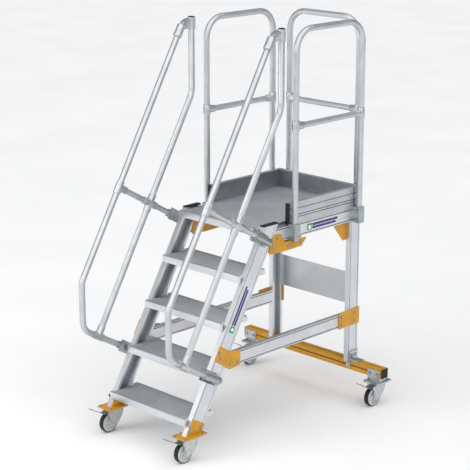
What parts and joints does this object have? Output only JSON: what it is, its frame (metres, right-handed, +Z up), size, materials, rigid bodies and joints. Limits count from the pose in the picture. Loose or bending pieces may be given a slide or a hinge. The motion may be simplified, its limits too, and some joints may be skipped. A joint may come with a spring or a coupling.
{
  "type": "mobile platform steps",
  "caption": "Mobile aluminium platform steps on braked swivel castors, with ribbed treads, a deck with toe boards and guard hoops, and tubular stair handrails.",
  "frame": {"origin": "on the floor, at the bottom centre of the whole bounding box", "axes": "+X to the right as one faces the steps, +Y the climbing direction, +Z up"},
  "size_m": [1.128, 1.6283, 2.293],
  "materials": {
    "alu_profile": "mill finish extrusion",
    "alu_tube": "satin drawn tube",
    "alu_ribbed": "ribbed extrusion, matt",
    "cast_alu": "tumbled casting",
    "orange_steel": "ochre powder coat on steel plate",
    "zinc_steel": "bright zinc plated pressed steel",
    "black_plastic": "moulded, satin black",
    "wheel_grey": "moulded light grey nylon",
    "tyre_rubber": "solid black rubber",
    "bolt_steel": "zinc plated hexagon heads"
  },
  "bodies": {
    "frame": {"left_stile": "alu_profile", "right_stile": "alu_profile", "left_upright": "alu_profile", "right_upright": "alu_profile", "left_brace": "alu_profile", "right_brace": "alu_profile", "left_deck_beam": "alu_profile", "right_deck_beam": "alu_profile", "deck_cross_beams": "alu_profile", "rear_crossbar": "orange_steel", "black_caps": "black_plastic", "tread_1": "alu_ribbed", "tread_2": "alu_ribbed", "tread_3": "alu_ribbed", "tread_4": "alu_ribbed", "tread_brackets": "cast_alu", "deck": "alu_ribbed", "rear_panel": "alu_profile", "toe_board_left": "alu_profile", "toe_board_right": "alu_profile", "toe_board_rear": "alu_profile", "toe_board_ends": "black_plastic", "guard_hoop_left": "alu_tube", "guard_hoop_right": "alu_tube", "guard_hoop_rear": "alu_tube", "guard_mid_rails": "alu_tube", "guard_fittings": "cast_alu", "guard_clamps": "cast_alu", "handrail_left": "alu_tube", "handrail_right": "alu_tube", "handrail_inner_left": "alu_tube", "handrail_inner_right": "alu_tube", "handrail_cross_tubes": "alu_tube", "handrail_fittings": "cast_alu", "handrail_saddles": "cast_alu", "front_castor_brackets": "orange_steel", "brace_gussets": "orange_steel", "brace_brackets": "orange_steel", "deck_brackets": "orange_steel", "foot_brackets": "zinc_steel", "rear_castor_clamps": "zinc_steel", "frame_bolts": "bolt_steel", "castor_top_plates": "zinc_steel"},
    "front_left_castor": {"front_left_fork": "zinc_steel"},
    "front_left_roller": {"front_left_wheel": "wheel_grey", "front_left_tyre": "tyre_rubber"},
    "front_left_brake": {"front_left_pedal": "zinc_steel"},
    "front_right_castor": {"front_right_fork": "zinc_steel"},
    "front_right_roller": {"front_right_wheel": "wheel_grey", "front_right_tyre": "tyre_rubber"},
    "front_right_brake": {"front_right_pedal": "zinc_steel"},
    "rear_left_castor": {"rear_left_fork": "zinc_steel"},
    "rear_left_roller": {"rear_left_wheel": "wheel_grey", "rear_left_tyre": "tyre_rubber"},
    "rear_left_brake": {"rear_left_pedal": "zinc_steel"},
    "rear_right_castor": {"rear_right_fork": "zinc_steel"},
    "rear_right_roller": {"rear_right_wheel": "wheel_grey", "rear_right_tyre": "tyre_rubber"},
    "rear_right_brake": {"rear_right_pedal": "zinc_steel"}
  },
  "joints": [
    {"name": "front_left_swivel", "type": "hinge", "parent": "frame", "child": "front_left_castor", "pos_m": [-0.308, -0.6191, 0.13], "axis": [0, 0, 1], "continuous": true},
    {"name": "front_left_roll", "type": "hinge", "parent": "front_left_castor", "child": "front_left_roller", "pos_m": [-0.308, -0.6611, 0.058], "axis": [1, 0, 0], "continuous": true},
    {"name": "front_left_brake_pedal", "type": "hinge", "parent": "front_left_castor", "child": "front_left_brake", "pos_m": [-0.308, -0.6691, 0.1225], "axis": [1, 0, 0], "range_deg": [0, 20]},
    {"name": "front_right_swivel", "type": "hinge", "parent": "frame", "child": "front_right_castor", "pos_m": [0.308, -0.6191, 0.13], "axis": [0, 0, 1], "continuous": true},
    {"name": "front_right_roll", "type": "hinge", "parent": "front_right_castor", "child": "front_right_roller", "pos_m": [0.308, -0.6611, 0.058], "axis": [1, 0, 0], "continuous": true},
    {"name": "front_right_brake_pedal", "type": "hinge", "parent": "front_right_castor", "child": "front_right_brake", "pos_m": [0.308, -0.6691, 0.1225], "axis": [1, 0, 0], "range_deg": [0, 20]},
    {"name": "rear_left_swivel", "type": "hinge", "parent": "frame", "child": "rear_left_castor", "pos_m": [-0.506, 0.7389, 0.13], "axis": [0, 0, 1], "continuous": true},
    {"name": "rear_left_roll", "type": "hinge", "parent": "rear_left_castor", "child": "rear_left_roller", "pos_m": [-0.506, 0.6969, 0.058], "axis": [1, 0, 0], "continuous": true},
    {"name": "rear_left_brake_pedal", "type": "hinge", "parent": "rear_left_castor", "child": "rear_left_brake", "pos_m": [-0.506, 0.6889, 0.1225], "axis": [1, 0, 0], "range_deg": [0, 20]},
    {"name": "rear_right_swivel", "type": "hinge", "parent": "frame", "child": "rear_right_castor", "pos_m": [0.506, 0.7389, 0.13], "axis": [0, 0, 1], "continuous": true},
    {"name": "rear_right_roll", "type": "hinge", "parent": "rear_right_castor", "child": "rear_right_roller", "pos_m": [0.506, 0.6969, 0.058], "axis": [1, 0, 0], "continuous": true},
    {"name": "rear_right_brake_pedal", "type": "hinge", "parent": "rear_right_castor", "child": "rear_right_brake", "pos_m": [0.506, 0.6889, 0.1225], "axis": [1, 0, 0], "range_deg": [0, 20]}
  ]
}
